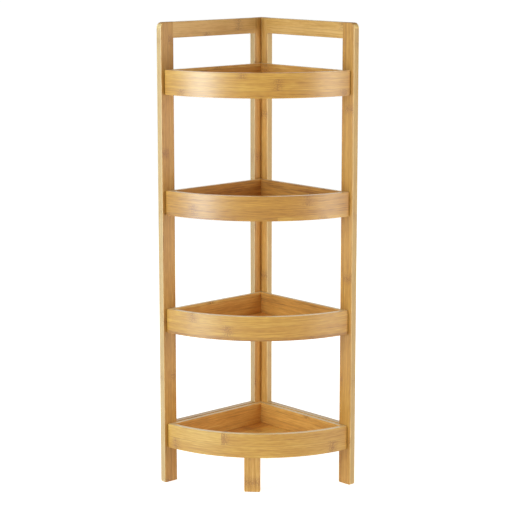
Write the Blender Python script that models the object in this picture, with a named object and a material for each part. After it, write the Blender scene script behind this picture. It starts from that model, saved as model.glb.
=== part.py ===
"""Free-standing bamboo corner shelf: two ladder frames, four quarter-round trays and a front leg.

Plan coordinates start at the outer back corner, where the two walls of a room meet:
u runs along the right frame, v runs along the left frame, and z is up. All in metres.
"""
import math

import bmesh
import bpy
from mathutils import Matrix, Vector

# Whole shelf
HEIGHT = 0.800
WIDTH = 0.240
GAP = 0.0003

# Frame members
STOCK = 0.0125
POST_WIDTH = 0.0275
BACK_POST_REACH = 0.028
RAIL_HEIGHT = 0.027
BOTTOM_RAIL_TOP = 0.107
EASE = 0.0015
CORNER_RADIUS = 0.0095

# Trays
TRAY_COUNT = 4
LOWEST_RIM = 0.106
TRAY_PITCH = 0.205
TRAY_HEIGHT = 0.042
WALL = 0.008
RIM_EASE = 0.0012
BAND_RADIUS = 0.2335
BAND_STEPS = 22
FLOOR_RISE = 0.005
FLOOR_THICKNESS = 0.0032
GROOVE_DEPTH = 0.003

# Front leg
LEG_REACH = 0.224
LEG_SWING = math.radians(1.8)
LEG_SCREW_SPREAD = 0.007

# Fasteners
SCREW_HEAD_RADIUS = 0.0032
SCREW_HEAD_DEPTH = 0.0020
SCREW_SHANK_RADIUS = 0.0016
SCREW_POINT = 0.0030
SCREW_SINK = 0.0003
TRAY_SCREW_LENGTH = 0.0182
BACK_SCREW_REACH = 0.0242
FRONT_SCREW_REACH = 0.2185
CORNER_SCREW_LENGTH = 0.0245
LEG_SCREW_LENGTH = 0.0220
CORNER_SCREW_HEIGHTS = (0.190, 0.400, 0.600)
DOWEL_RADIUS = 0.0030
DOWEL_LENGTH = 0.0200
DOWEL_CHAMFER = 0.0006
TURNED_STEPS = 12
CUTTER_OVERRUN = 0.0010

# Modelling tolerances
TOUCH = 1e-5
SHARP_ANGLE = math.radians(40)
SMOOTH_ANGLE = math.radians(35)

# Finishes: linear colour, roughness, metallic
BAMBOO_LIGHT = ((0.72, 0.50, 0.23), 0.42, 0.0)
BAMBOO_HONEY = ((0.62, 0.38, 0.14), 0.42, 0.0)
BEECH = ((0.66, 0.47, 0.29), 0.60, 0.0)
ZINC = ((0.62, 0.62, 0.60), 0.35, 1.0)

# Derived sizes
FLOOR_TOP = FLOOR_RISE - TRAY_HEIGHT
BAND_INNER = BAND_RADIUS - WALL
WALL_FACE = STOCK + GAP + WALL
FRAME_FACE = STOCK + GAP

U_DIRECTION = Vector((1, 0, 0))
V_DIRECTION = Vector((0, -1, 0))
DOWN = Vector((0, 0, -1))


def plan(u, v, z):
    """World position of a point given in plan coordinates."""
    return Vector((u - WIDTH / 2, WIDTH / 2 - v, z))


def clear_scene():
    for old in list(bpy.data.objects):
        bpy.data.objects.remove(old, do_unlink=True)


def as_object(name, bm, finish):
    """Turns a bmesh into a named object with its own material."""
    bmesh.ops.recalc_face_normals(bm, faces=bm.faces)
    mesh = bpy.data.meshes.new(name)
    bm.to_mesh(mesh)
    bm.free()
    colour, roughness, metallic = finish
    material = bpy.data.materials.new(name + "_finish")
    material.use_nodes = True
    shader = material.node_tree.nodes["Principled BSDF"]
    shader.inputs["Base Color"].default_value = (*colour, 1.0)
    shader.inputs["Roughness"].default_value = roughness
    shader.inputs["Metallic"].default_value = metallic
    mesh.materials.append(material)
    mesh.shade_smooth()
    mesh.set_sharp_from_angle(angle=SMOOTH_ANGLE)
    obj = bpy.data.objects.new(name, mesh)
    bpy.context.collection.objects.link(obj)
    return obj


def edges_where(bm, test):
    """Edges whose two ends both pass a test on their position."""
    return [e for e in bm.edges if all(test(vert.co) for vert in e.verts)]


def ease(bm, edges, width, segments=2):
    """Rounds edges over with a small radius."""
    bmesh.ops.bevel(
        bm, geom=edges, offset=width, segments=segments, profile=0.5, affect="EDGES", clamp_overlap=True
    )


def block(low, high):
    """A box between two corners given in world coordinates."""
    bm = bmesh.new()
    size = Vector((abs(b - a) for a, b in zip(low, high)))
    matrix = Matrix.Translation((low + high) / 2) @ Matrix.Diagonal((*size, 1.0))
    bmesh.ops.create_cube(bm, size=1.0, matrix=matrix)
    return bm


def sharp_edges(bm):
    return [e for e in bm.edges if e.calc_face_angle(0.0) > SHARP_ANGLE]


def turned(profile, start, direction):
    """A turned solid: profile points are (radius, distance along the direction from the start)."""
    bm = bmesh.new()
    verts = [bm.verts.new((radius, 0.0, along)) for radius, along in profile]
    edges = [bm.edges.new(pair) for pair in zip(verts, verts[1:])]
    bmesh.ops.spin(
        bm, geom=verts + edges, cent=(0, 0, 0), axis=(0, 0, 1), dvec=(0, 0, 0), angle=2 * math.pi,
        steps=TURNED_STEPS, use_merge=False, use_duplicate=False,
    )
    bmesh.ops.remove_doubles(bm, verts=bm.verts, dist=TOUCH)
    turn = direction.to_track_quat("Z", "Y").to_matrix().to_4x4()
    bmesh.ops.transform(bm, matrix=Matrix.Translation(start) @ turn, verts=bm.verts)
    bmesh.ops.recalc_face_normals(bm, faces=bm.faces)
    return bm


def screw_profile(length):
    return [
        (0.0, 0.0),
        (SCREW_HEAD_RADIUS, 0.0),
        (SCREW_SHANK_RADIUS, SCREW_HEAD_DEPTH),
        (SCREW_SHANK_RADIUS, length - SCREW_POINT),
        (0.0, length),
    ]


def screw_hole_profile(length):
    """The screw's own shape grown by the gap all round, and open past the surface."""
    return [
        (0.0, -SCREW_SINK - CUTTER_OVERRUN),
        (SCREW_HEAD_RADIUS + GAP, -SCREW_SINK - CUTTER_OVERRUN),
        (SCREW_HEAD_RADIUS + GAP, GAP),
        (SCREW_SHANK_RADIUS + GAP, SCREW_HEAD_DEPTH + GAP),
        (SCREW_SHANK_RADIUS + GAP, length - SCREW_POINT + GAP),
        (0.0, length + GAP),
    ]


def dowel_profile(radius, length, chamfer):
    return [
        (0.0, 0.0),
        (radius - chamfer, 0.0),
        (radius, chamfer),
        (radius, length - chamfer),
        (radius - chamfer, length),
        (0.0, length),
    ]


def cut(obj, cutters):
    """Cuts a group of separate closed cutters out of an object."""
    joined = bpy.data.meshes.new("cutter")
    whole = bmesh.new()
    for bm in cutters:
        bm.to_mesh(joined)
        whole.from_mesh(joined)
        bm.free()
    whole.to_mesh(joined)
    whole.free()
    cutter = bpy.data.objects.new("cutter", joined)
    cutter.hide_render = True
    cutter.display_type = "WIRE"
    bpy.context.collection.objects.link(cutter)
    boolean = obj.modifiers.new("holes", "BOOLEAN")
    boolean.operation = "DIFFERENCE"
    boolean.solver = "EXACT"
    boolean.object = cutter
    evaluated = obj.evaluated_get(bpy.context.evaluated_depsgraph_get())
    obj.data = bpy.data.meshes.new_from_object(evaluated)
    obj.modifiers.clear()
    bpy.data.objects.remove(cutter, do_unlink=True)


def screw(name, start, direction, length):
    return as_object(name, turned(screw_profile(length), start + direction * SCREW_SINK, direction), ZINC)


def screw_hole(start, direction, length):
    return turned(screw_hole_profile(length), start + direction * SCREW_SINK, direction)


def dowel(name, middle, direction):
    profile = dowel_profile(DOWEL_RADIUS, DOWEL_LENGTH, DOWEL_CHAMFER)
    return as_object(name, turned(profile, middle - direction * DOWEL_LENGTH / 2, direction), BEECH)


def dowel_hole(middle, direction):
    length = DOWEL_LENGTH + 2 * GAP
    profile = dowel_profile(DOWEL_RADIUS + GAP, length, DOWEL_CHAMFER)
    return turned(profile, middle - direction * length / 2, direction)


# Each frame lies in one wall plane. "along" is the distance from the outer back corner on that wall,
# and "depth" is the distance from the wall into the room.


class Side:
    """One of the two frames, with its own along and depth directions."""

    def __init__(self, name, inner_start):
        self.name = name
        self.inner_start = inner_start
        self.along = V_DIRECTION if name == "left" else U_DIRECTION
        self.depth = U_DIRECTION if name == "left" else V_DIRECTION

    def point(self, along, depth, z):
        return plan(depth, along, z) if self.name == "left" else plan(along, depth, z)


# The right frame fills the back corner, and the left frame butts on its inner face.
LEFT = Side("left", STOCK + GAP)
RIGHT = Side("right", 0.0)


def rim_height(tray):
    return LOWEST_RIM + (tray - 1) * TRAY_PITCH


def tray_screw_height(tray):
    return rim_height(tray) - TRAY_HEIGHT / 2


def tray_screw_starts(side, reach):
    return [side.point(reach, 0.0, tray_screw_height(tray)) for tray in range(1, TRAY_COUNT + 1)]


def rail_middles():
    """Mid-height of the top rail and of the bottom rail."""
    return {"top": HEIGHT - RAIL_HEIGHT / 2, "bottom": BOTTOM_RAIL_TOP - RAIL_HEIGHT / 2}


def corner_screw_starts():
    middle = STOCK / 2
    return [RIGHT.point(middle, 0.0, z) for z in CORNER_SCREW_HEIGHTS]


def dowel_middles(side, end):
    """Points where the rails meet the back post or the front post."""
    along = BACK_POST_REACH + GAP / 2 if end == "back" else WIDTH - POST_WIDTH - GAP / 2
    return [side.point(along, STOCK / 2, z) for z in rail_middles().values()]


def front_post(side):
    """A front post: its outer top corner is rounded and every other edge is eased."""
    bm = block(side.point(WIDTH - POST_WIDTH, 0.0, 0.0), side.point(WIDTH, STOCK, HEIGHT))
    outer = side.point(WIDTH, 0.0, HEIGHT).dot(side.along)
    tip = edges_where(bm, lambda co: abs(co.dot(side.along) - outer) < TOUCH and co.z > HEIGHT - TOUCH)
    ease(bm, tip, CORNER_RADIUS, segments=5)
    ease(bm, sharp_edges(bm), EASE)
    post = as_object(side.name + "_front_post", bm, BAMBOO_LIGHT)
    starts = tray_screw_starts(side, FRONT_SCREW_REACH)
    holes = [screw_hole(start, side.depth, TRAY_SCREW_LENGTH) for start in starts]
    holes += [dowel_hole(middle, side.along) for middle in dowel_middles(side, "front")]
    cut(post, holes)


def back_post(side):
    """A back post: the corner screws pass through the right one into the edge of the left one."""
    bm = block(side.point(side.inner_start, 0.0, 0.0), side.point(BACK_POST_REACH, STOCK, HEIGHT))
    ease(bm, sharp_edges(bm), EASE)
    post = as_object(side.name + "_back_post", bm, BAMBOO_HONEY)
    starts = tray_screw_starts(side, BACK_SCREW_REACH)
    holes = [screw_hole(start, side.depth, TRAY_SCREW_LENGTH) for start in starts]
    holes += [dowel_hole(middle, side.along) for middle in dowel_middles(side, "back")]
    holes += [screw_hole(start, V_DIRECTION, CORNER_SCREW_LENGTH) for start in corner_screw_starts()]
    cut(post, holes)


def rail(side, level):
    """A rail between the posts: only its long edges are eased, so that its ends butt tight."""
    middle = rail_middles()[level]
    back, front = BACK_POST_REACH + GAP, WIDTH - POST_WIDTH - GAP
    bm = block(
        side.point(back, 0.0, middle - RAIL_HEIGHT / 2), side.point(front, STOCK, middle + RAIL_HEIGHT / 2)
    )
    long_edges = [e for e in bm.edges if e.calc_length() > RAIL_HEIGHT * 2]
    ease(bm, long_edges, EASE)
    member = as_object(f"{side.name}_{level}_rail", bm, BAMBOO_HONEY)
    ends = [side.point(along, STOCK / 2, middle) for along in (back - GAP / 2, front + GAP / 2)]
    cut(member, [dowel_hole(end, side.along) for end in ends])
    for end, where in zip(ends, ("back", "front")):
        dowel(f"{side.name}_{level}_{where}_dowel", end, side.along)


def rim_profile(front, rim):
    """Section of a tray wall or band, from its outer face: (depth from the outer face, height)."""
    low = rim - TRAY_HEIGHT
    groove_low = rim + FLOOR_TOP - FLOOR_THICKNESS - GAP
    groove_high = rim + FLOOR_TOP + GAP
    return [
        (0.0, low),
        (front, low),
        (front, groove_low),
        (front - GROOVE_DEPTH, groove_low),
        (front - GROOVE_DEPTH, groove_high),
        (front, groove_high),
        (front, rim),
        (0.0, rim),
    ]


def tray_wall(side, tray):
    """A straight tray wall on a frame's inner face, grooved for the floor panel."""
    rim = rim_height(tray)
    other_wall = WALL_FACE + GAP if side is LEFT else FRAME_FACE
    end = math.sqrt(BAND_INNER**2 - WALL_FACE**2) - GAP
    bm = bmesh.new()
    section = [side.point(other_wall, FRAME_FACE + depth, z) for depth, z in rim_profile(WALL, rim)]
    face = bm.faces.new([bm.verts.new(point) for point in section])
    drawn = bmesh.ops.extrude_face_region(bm, geom=[face])["geom"]
    moved = [item for item in drawn if isinstance(item, bmesh.types.BMVert)]
    bmesh.ops.translate(bm, verts=moved, vec=side.along * (end - other_wall))
    rim_edges = edges_where(bm, lambda co: co.z > rim - TOUCH)
    ease(bm, [e for e in rim_edges if e.calc_length() > WALL * 2], RIM_EASE)
    wall = as_object(f"tray_{tray}_{side.name}_wall", bm, BAMBOO_HONEY)
    z = tray_screw_height(tray)
    starts = [side.point(reach, 0.0, z) for reach in (BACK_SCREW_REACH, FRONT_SCREW_REACH)]
    cut(wall, [screw_hole(start, side.depth, TRAY_SCREW_LENGTH) for start in starts])
    for start, where in zip(starts, ("back", "front")):
        screw(f"tray_{tray}_{side.name}_{where}_screw", start, side.depth, TRAY_SCREW_LENGTH)


def front_band(tray):
    """The bent front of a tray: the wall section swept round the outer back corner."""
    rim = rim_height(tray)
    corner = plan(0.0, 0.0, 0.0)
    margin = math.asin(FRAME_FACE / BAND_INNER)
    bm = bmesh.new()
    section = [Vector((BAND_RADIUS - depth, 0.0, z)) for depth, z in rim_profile(WALL, rim)]
    face = bm.faces.new([bm.verts.new(point) for point in section])
    start = Matrix.Translation(plan(0.0, 0.0, 0.0)) @ Matrix.Rotation(margin - math.pi / 2, 4, "Z")
    bmesh.ops.transform(bm, matrix=start, verts=bm.verts)
    bmesh.ops.spin(
        bm, geom=[face, *face.edges, *face.verts], cent=corner, axis=(0, 0, 1), dvec=(0, 0, 0),
        angle=math.pi / 2 - 2 * margin, steps=BAND_STEPS, use_merge=False, use_duplicate=False,
    )
    low = rim - TRAY_HEIGHT

    def on_rim_or_lower_outer_edge(co):
        outer = (co - corner).xy.length > BAND_RADIUS - TOUCH
        return co.z > rim - TOUCH or (outer and co.z < low + TOUCH)

    def on_outer_upright(edge):
        return all((vert.co - corner).xy.length > BAND_RADIUS - TOUCH for vert in edge.verts)

    sharp = sharp_edges(bm)
    chosen = [e for e in sharp if all(on_rim_or_lower_outer_edge(vert.co) for vert in e.verts)]
    chosen += [e for e in sharp if on_outer_upright(e) and e not in chosen]
    ease(bm, chosen, RIM_EASE)
    as_object(f"tray_{tray}_front_band", bm, BAMBOO_LIGHT)


def leg_place(across, z):
    """A point at the middle of the leg's front face, moved sideways along its width."""
    turn = Matrix.Rotation(-math.pi / 4 - LEG_SWING, 3, "Z")
    return plan(0.0, 0.0, z) + turn @ Vector((LEG_REACH, across, 0.0))


def leg_screw_starts():
    inwards = (leg_place(0.0, 0.0) - plan(0.0, 0.0, 0.0)).normalized() * STOCK / 2
    z = LOWEST_RIM + FLOOR_TOP
    return [leg_place(across, z) - inwards for across in (-LEG_SCREW_SPREAD, LEG_SCREW_SPREAD)]


def floor_panel(tray):
    """The tray's floor, with its edges in the grooves of the walls and the band."""
    rim = rim_height(tray)
    edge = WALL_FACE - GROOVE_DEPTH + GAP
    radius = BAND_INNER + GROOVE_DEPTH - GAP
    start, stop = math.asin(edge / radius), math.acos(edge / radius)
    outline = [(edge, edge)]
    for step in range(BAND_STEPS + 1):
        angle = start + (stop - start) * step / BAND_STEPS
        outline.append((radius * math.cos(angle), radius * math.sin(angle)))
    bm = bmesh.new()
    bottom = rim + FLOOR_TOP - FLOOR_THICKNESS
    face = bm.faces.new([bm.verts.new(plan(u, v, bottom)) for u, v in outline])
    drawn = bmesh.ops.extrude_face_region(bm, geom=[face])["geom"]
    moved = [item for item in drawn if isinstance(item, bmesh.types.BMVert)]
    bmesh.ops.translate(bm, verts=moved, vec=(0, 0, FLOOR_THICKNESS))
    panel = as_object(f"tray_{tray}_floor", bm, BAMBOO_HONEY)
    if tray == 1:
        cut(panel, [screw_hole(point, DOWN, LEG_SCREW_LENGTH) for point in leg_screw_starts()])


def front_leg():
    """The short leg under the lowest tray, square to the band just behind it."""
    top = LOWEST_RIM + FLOOR_TOP - FLOOR_THICKNESS - GAP
    turn = Matrix.Rotation(-math.pi / 4 - LEG_SWING, 4, "Z")
    bm = block(Vector((LEG_REACH - STOCK, -POST_WIDTH / 2, 0.0)), Vector((LEG_REACH, POST_WIDTH / 2, top)))
    ease(bm, sharp_edges(bm), EASE)
    bmesh.ops.transform(bm, matrix=Matrix.Translation(plan(0.0, 0.0, 0.0)) @ turn, verts=bm.verts)
    leg = as_object("front_leg", bm, BAMBOO_LIGHT)
    starts = leg_screw_starts()
    cut(leg, [screw_hole(start, DOWN, LEG_SCREW_LENGTH) for start in starts])
    for start, where in zip(starts, ("left", "right")):
        screw(f"leg_{where}_screw", start, DOWN, LEG_SCREW_LENGTH)


def corner_screws():
    for start, level in zip(corner_screw_starts(), ("low", "middle", "high")):
        screw(f"corner_{level}_screw", start, V_DIRECTION, CORNER_SCREW_LENGTH)


def build():
    clear_scene()
    for side in (LEFT, RIGHT):
        front_post(side)
        back_post(side)
        rail(side, "top")
        rail(side, "bottom")
    corner_screws()
    for tray in range(1, TRAY_COUNT + 1):
        tray_wall(LEFT, tray)
        tray_wall(RIGHT, tray)
        front_band(tray)
        floor_panel(tray)
    front_leg()


build()
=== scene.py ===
# %% [markdown]
# # A bamboo corner shelf
# The shelf is two ladder frames at a right angle, four quarter-round trays with bent fronts, and a short
# leg under the lowest tray. Every piece is bamboo strip glued side by side, planed, eased at its edges
# and lacquered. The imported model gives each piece's place and size, and the pieces here take theirs from
# it, so that nothing has to be fitted afterwards.

# %% Load the frame
import math
import random

import bmesh
import bpy
from mathutils import Matrix, Vector


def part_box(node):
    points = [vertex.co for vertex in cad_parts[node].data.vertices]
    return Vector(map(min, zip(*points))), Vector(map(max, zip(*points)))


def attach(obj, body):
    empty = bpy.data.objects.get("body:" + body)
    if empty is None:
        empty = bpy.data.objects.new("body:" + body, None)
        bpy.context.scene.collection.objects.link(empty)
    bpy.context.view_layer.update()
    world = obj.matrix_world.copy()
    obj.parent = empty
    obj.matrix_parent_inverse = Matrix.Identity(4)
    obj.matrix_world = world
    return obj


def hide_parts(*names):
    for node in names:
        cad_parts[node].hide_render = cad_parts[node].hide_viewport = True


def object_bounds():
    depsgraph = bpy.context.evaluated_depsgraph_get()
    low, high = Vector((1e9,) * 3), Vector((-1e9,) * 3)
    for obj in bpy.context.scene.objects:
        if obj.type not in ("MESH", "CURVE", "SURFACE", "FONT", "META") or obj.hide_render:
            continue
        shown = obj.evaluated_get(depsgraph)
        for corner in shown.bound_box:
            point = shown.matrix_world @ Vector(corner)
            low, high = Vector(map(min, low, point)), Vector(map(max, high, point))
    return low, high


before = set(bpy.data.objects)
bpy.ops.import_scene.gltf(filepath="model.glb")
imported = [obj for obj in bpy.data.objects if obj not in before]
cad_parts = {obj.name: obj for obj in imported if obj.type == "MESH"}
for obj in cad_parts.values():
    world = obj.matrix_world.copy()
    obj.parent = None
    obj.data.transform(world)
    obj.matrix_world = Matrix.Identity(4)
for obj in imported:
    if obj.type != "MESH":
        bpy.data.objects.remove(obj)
cad_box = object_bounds()
low_corner, high_corner = cad_box
room_corner = Vector((low_corner.x, high_corner.y, 0.0))
print("shelf in metres:", [round(side, 4) for side in high_corner - low_corner])

# %% [markdown]
# ## Sizes that the boxes don't say
# A box tells where a straight piece starts and stops. The bent fronts also need their radius, measured
# from the room corner, and the floor panels sit in a groove near the lower edge of each tray. The leg
# stands a little to the left of the diagonal. Each side of the shelf has a direction along its frame,
# away from the room corner, and one through the thickness of its boards, into the shelf.

# %% Sizes in metres
MM = 0.001
GAP = 0.3 * MM
WALL = 8.0 * MM
STOCK = 12.5 * MM
BAND_RADIUS = 233.5 * MM
GROOVE_DEPTH = 3.0 * MM
EASE = 1.5 * MM
EASE_STEPS = 3
RIM_EASE = 1.1 * MM
CORNER_RADIUS = 9.5 * MM
CORNER_STEPS = 10
FOOT_RADIUS = 3.0 * MM
FOOT_STEPS = 5
BAND_CORNER_RADIUS = 3.2 * MM
BAND_CORNER_STEPS = 6
LEG_WIDTH = 27.5 * MM
LEG_SWING = 1.8
TRAYS = range(1, 5)
TRAY_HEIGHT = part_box("tray_1_front_band")[1].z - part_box("tray_1_front_band")[0].z
LEG_BEARING = -math.radians(45.0 + LEG_SWING)
Z_AXIS = Vector((0.0, 0.0, 1.0))
SIDES = {
    "left": {"along": Vector((0.0, -1.0, 0.0)), "depth": Vector((1.0, 0.0, 0.0))},
    "right": {"along": Vector((1.0, 0.0, 0.0)), "depth": Vector((0.0, -1.0, 0.0))},
}
print("tray height:", round(TRAY_HEIGHT, 4))

# %% [markdown]
# ## Working by hand, in code
# Blender's operators act on what is selected. So each step deselects everything, picks its own object,
# and then picks edges or faces by where they are. These few helpers do that picking. A place counts as
# met within 0.02 mm, and a direction when the face looks mostly that way.

# %% Picking helpers
NEAR = 0.02 * MM
MOSTLY = 0.72
SHARP_ANGLE = math.radians(50)
CUT_TOLERANCE = 1e-6


def take(piece):
    """Makes a piece the only selected object."""
    if bpy.context.mode != "OBJECT":
        bpy.ops.object.mode_set(mode="OBJECT")
    bpy.ops.object.select_all(action="DESELECT")
    piece.select_set(True)
    bpy.context.view_layer.objects.active = piece


def named(name):
    """Names the primitive that was just added and puts its place into its mesh."""
    piece = bpy.context.active_object
    piece.name = name
    piece.data.name = name
    take(piece)
    bpy.ops.object.transform_apply(location=True, rotation=True, scale=True)
    return piece


def block(name, low, high, turn=0.0):
    """A box between two corners, turned about the upright axis through its middle."""
    bpy.ops.object.select_all(action="DESELECT")
    bpy.ops.mesh.primitive_cube_add(
        size=1.0, location=(low + high) / 2, rotation=(0.0, 0.0, turn), scale=high - low
    )
    return named(name)


def pick(piece, kind, test):
    """Selects, in edit mode, the edges or faces (EDGE or FACE) that pass a test."""
    take(piece)
    bpy.ops.object.mode_set(mode="EDIT")
    bpy.ops.mesh.select_mode(type=kind)
    bpy.ops.mesh.select_all(action="DESELECT")
    shape = bmesh.from_edit_mesh(piece.data)
    for part in shape.edges if kind == "EDGE" else shape.faces:
        part.select = test(part)
    bmesh.update_edit_mesh(piece.data)


def round_edges(piece, test, radius, steps=EASE_STEPS):
    """Rounds the edges that pass a test, in a number of steps."""
    pick(piece, "EDGE", test)
    bpy.ops.mesh.bevel(offset=radius, segments=steps, profile=0.5, affect="EDGES", clamp_overlap=True)
    bpy.ops.object.mode_set(mode="OBJECT")


def cut(piece, point, normal, drop=False):
    """Cuts new edges where a plane crosses a piece. drop takes away what lies on the normal's side."""
    take(piece)
    bpy.ops.object.mode_set(mode="EDIT")
    bpy.ops.mesh.select_all(action="SELECT")
    bpy.ops.mesh.bisect(
        plane_co=point, plane_no=normal, use_fill=drop, clear_outer=drop, threshold=CUT_TOLERANCE
    )
    bpy.ops.object.mode_set(mode="OBJECT")


def is_sharp(edge):
    return edge.calc_face_angle(0.0) > SHARP_ANGLE


def at(edge, axis, value):
    """True where both ends of an edge lie in the plane axis = value."""
    return all(abs(vert.co.dot(axis) - value) < NEAR for vert in edge.verts)


# %% [markdown]
# ## Rounded edges that shade well
# A planed board has flat faces and small rounded edges. With plain smooth shading the rounding would
# bleed across the flats, so a weighted normal modifier lets the large faces keep their own direction.
# Each edge that doesn't join exactly two faces would be a hole in the piece, so they are counted.

# %% Finishing helpers
FLAT_WEIGHT = 80


def apply_modifier(piece, kind, **settings):
    take(piece)
    modifier = piece.modifiers.new(kind.lower(), kind)
    for key, value in settings.items():
        setattr(modifier, key, value)
    bpy.ops.object.modifier_apply(modifier=modifier.name)


def carve(piece, cutter):
    """Takes a cutter's shape out of a piece."""
    apply_modifier(piece, "BOOLEAN", object=cutter, operation="DIFFERENCE", solver="EXACT")
    bpy.data.objects.remove(cutter, do_unlink=True)


def shade(piece):
    take(piece)
    bpy.ops.object.shade_smooth_by_angle(angle=SHARP_ANGLE)
    apply_modifier(piece, "WEIGHTED_NORMAL", weight=FLAT_WEIGHT, keep_sharp=True)


def open_edges(piece):
    """The number of edges that don't join exactly two faces."""
    shape = bmesh.new()
    shape.from_mesh(piece.data)
    count = sum(1 for edge in shape.edges if len(edge.link_faces) != 2)
    shape.free()
    return count


# %% [markdown]
# ## Holes
# The screws and dowels pass through the boards, so each board is drilled. The drill is a cylinder with the
# screw's or dowel's own outline, grown by the gap. All of a board's drills are joined first and taken
# away with one Boolean, which is quicker and safer than many.

# %% Drilling helpers
SCREW_HEAD_RADIUS = 3.2 * MM
SCREW_HEAD_DEPTH = 2.0 * MM
SCREW_SHANK_RADIUS = 1.6 * MM
HOLE_SIDES = 32
HOLE_STUB = 2.0 * MM


def screw_way(node):
    """Where a screw's head lies and which way the screw points, from its node's box and name."""
    low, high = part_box(node)
    middle = (low + high) / 2
    if node.startswith("leg_"):
        return Vector((middle.x, middle.y, high.z)), -Z_AXIS, high.z - low.z
    if "_left_" in node:
        return Vector((low.x, middle.y, middle.z)), SIDES["left"]["depth"], high.x - low.x
    return Vector((middle.x, high.y, middle.z)), SIDES["right"]["depth"], high.y - low.y


def turned_to(direction):
    return direction.to_track_quat("Z", "Y").to_matrix().to_4x4()


def screw_hole(node):
    """A cutter shaped like the screw, grown by the gap and open past the surface."""
    head, direction, length = screw_way(node)
    bpy.ops.object.select_all(action="DESELECT")
    bpy.ops.mesh.primitive_cylinder_add(
        vertices=HOLE_SIDES,
        radius=SCREW_HEAD_RADIUS + GAP,
        depth=HOLE_STUB,
        location=(0, 0, GAP - HOLE_STUB / 2),
    )
    cutter = named("cutter")
    pick(cutter, "FACE", lambda face: face.normal.z > MOSTLY)
    shrink = (SCREW_SHANK_RADIUS + GAP) / (SCREW_HEAD_RADIUS + GAP)
    bpy.ops.mesh.extrude_region_move(TRANSFORM_OT_translate={"value": (0, 0, SCREW_HEAD_DEPTH)})
    bpy.ops.transform.resize(value=(shrink, shrink, 1), center_override=(0, 0, 0))
    bpy.ops.mesh.extrude_region_move(TRANSFORM_OT_translate={"value": (0, 0, length - SCREW_HEAD_DEPTH)})
    bpy.ops.object.mode_set(mode="OBJECT")
    cutter.data.transform(Matrix.Translation(head) @ turned_to(direction))
    return cutter


def dowel_hole(node):
    low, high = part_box(node)
    across = min(high - low) / 2
    long_axis = SIDES["left"]["along"] if node.startswith("left") else SIDES["right"]["along"]
    bpy.ops.object.select_all(action="DESELECT")
    bpy.ops.mesh.primitive_cylinder_add(
        vertices=HOLE_SIDES, radius=across + GAP, depth=max(high - low) + 2 * GAP
    )
    cutter = named("cutter")
    cutter.data.transform(Matrix.Translation((low + high) / 2) @ turned_to(long_axis))
    return cutter


def bore(piece, screws=(), dowels=()):
    """Cuts the holes for the named screws and dowels out of a piece."""
    cutters = [screw_hole(node) for node in screws] + [dowel_hole(node) for node in dowels]
    if not cutters:
        return
    take(cutters[0])
    for cutter in cutters[1:]:
        cutter.select_set(True)
    bpy.ops.object.join()
    carve(piece, cutters[0])


# %% [markdown]
# ## Which strip a face belongs to
# Laminated bamboo is strips about 20 mm wide, each from its own culm, so each has its own tone and its
# own knuckles, the rings where the culm had a joint, some 0.3 m apart. The pattern has to follow each
# piece, round the bent fronts too. So every vertex carries its place in the wood (how far along the
# grain, across it and through it), and every face carries its strip: the tone, where a knuckle falls,
# a number of its own, and the strip's two edges.

# %% Grain and strips
KNUCKLE_SPACING = 290 * MM
STRIP_WIDTH = 20 * MM
NARROWEST_STRIP = 1 * MM
FIRST_STRIP = (0.35, 0.9)
NUMBER_STEP = 0.37
FAR = 1.0

# Where the dice of each kind of piece start.
POST_SEED = 11
RAIL_SEED = 31
WALL_SEED = 50
FRONT_SEED = 80
FLOOR_SEED = 90
LEG_SEED = 7

# How much paler than the rest a piece is drawn. A minus means darker.
# Part of this is painted shade inside the trays: each right tray wall is set darker than the left one, and
# the walls and floor of the third tray from the bottom are set darkest.
PIECE_TONE_AND_SHADE = {
    "right_top_rail": 0.85,
    "left_top_rail": 1.05,
    "right_front_post": -0.45,
    "right_back_post": 0.35,
    "left_back_post": 0.20,
    "front_leg": 0.60,
    "tray_2_left_wall": 0.25,
    "tray_2_right_wall": -0.20,
    "tray_3_left_wall": -0.50,
    "tray_3_right_wall": -0.85,
    "tray_3_floor": -0.70,
    "tray_4_left_wall": 0.35,
    "tray_4_right_wall": -0.05,
}


def strip_row(node, width, seed, first=None, strip_width=STRIP_WIDTH, spread=0.5):
    """Strips side by side over a width: (low, high, start, stop, tone, knuckle)."""
    # The piece's tone, which for the tray walls and floors holds painted shade.
    base = PIECE_TONE_AND_SHADE.get(node, 0.0)
    dice = random.Random(seed)
    edge = dice.uniform(*FIRST_STRIP) * strip_width if first is None else first
    edges = [0.0]
    while edge < width - NARROWEST_STRIP:
        edges.append(edge)
        edge += strip_width
    edges.append(width)
    return [
        (low, high, -FAR, FAR, base + dice.uniform(-spread, spread), dice.uniform(0.0, KNUCKLE_SPACING))
        for low, high in zip(edges, edges[1:])
    ]


def mark_wood(piece, place, strips, width, seed):
    """Stores the grain on the vertices and the strips on the faces. place gives (along, across, through)."""
    mesh = piece.data
    grain = mesh.attributes.new("grain", "FLOAT_VECTOR", "POINT")
    for vert in mesh.vertices:
        grain.data[vert.index].vector = place(vert.co)
    strip_data = mesh.attributes.new("strip", "FLOAT_VECTOR", "FACE")
    span_data = mesh.attributes.new("span", "FLOAT_VECTOR", "FACE")
    for face in mesh.polygons:
        along, across, _ = place(face.center)
        found = [s for s in strips if s[0] <= across <= s[1] and s[2] <= along <= s[3]]
        strip = found[0] if found else strips[0]
        low, high, _, _, tone, knuckle = strip
        number = seed + strips.index(strip) * NUMBER_STEP
        strip_data.data[face.index].vector = (tone, knuckle, number)
        outer_low = -FAR if low <= 0.0 else low
        outer_high = FAR if high >= width else high
        span_data.data[face.index].vector = (outer_low, outer_high, 0.0)


def straight_place(origin, along, across, through):
    """The grain coordinates of a straight piece."""

    def place(co):
        offset = co - origin
        return offset.dot(along), offset.dot(across), offset.dot(through)

    return place


def cut_strips(piece, strips, width, origin, across):
    """Adds edges where two strips meet, so that each face lies in one strip."""
    inner = sorted({edge for low, high, *_ in strips for edge in (low, high) if 0 < edge < width})
    for edge in inner:
        cut(piece, origin + across * edge, across)


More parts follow.
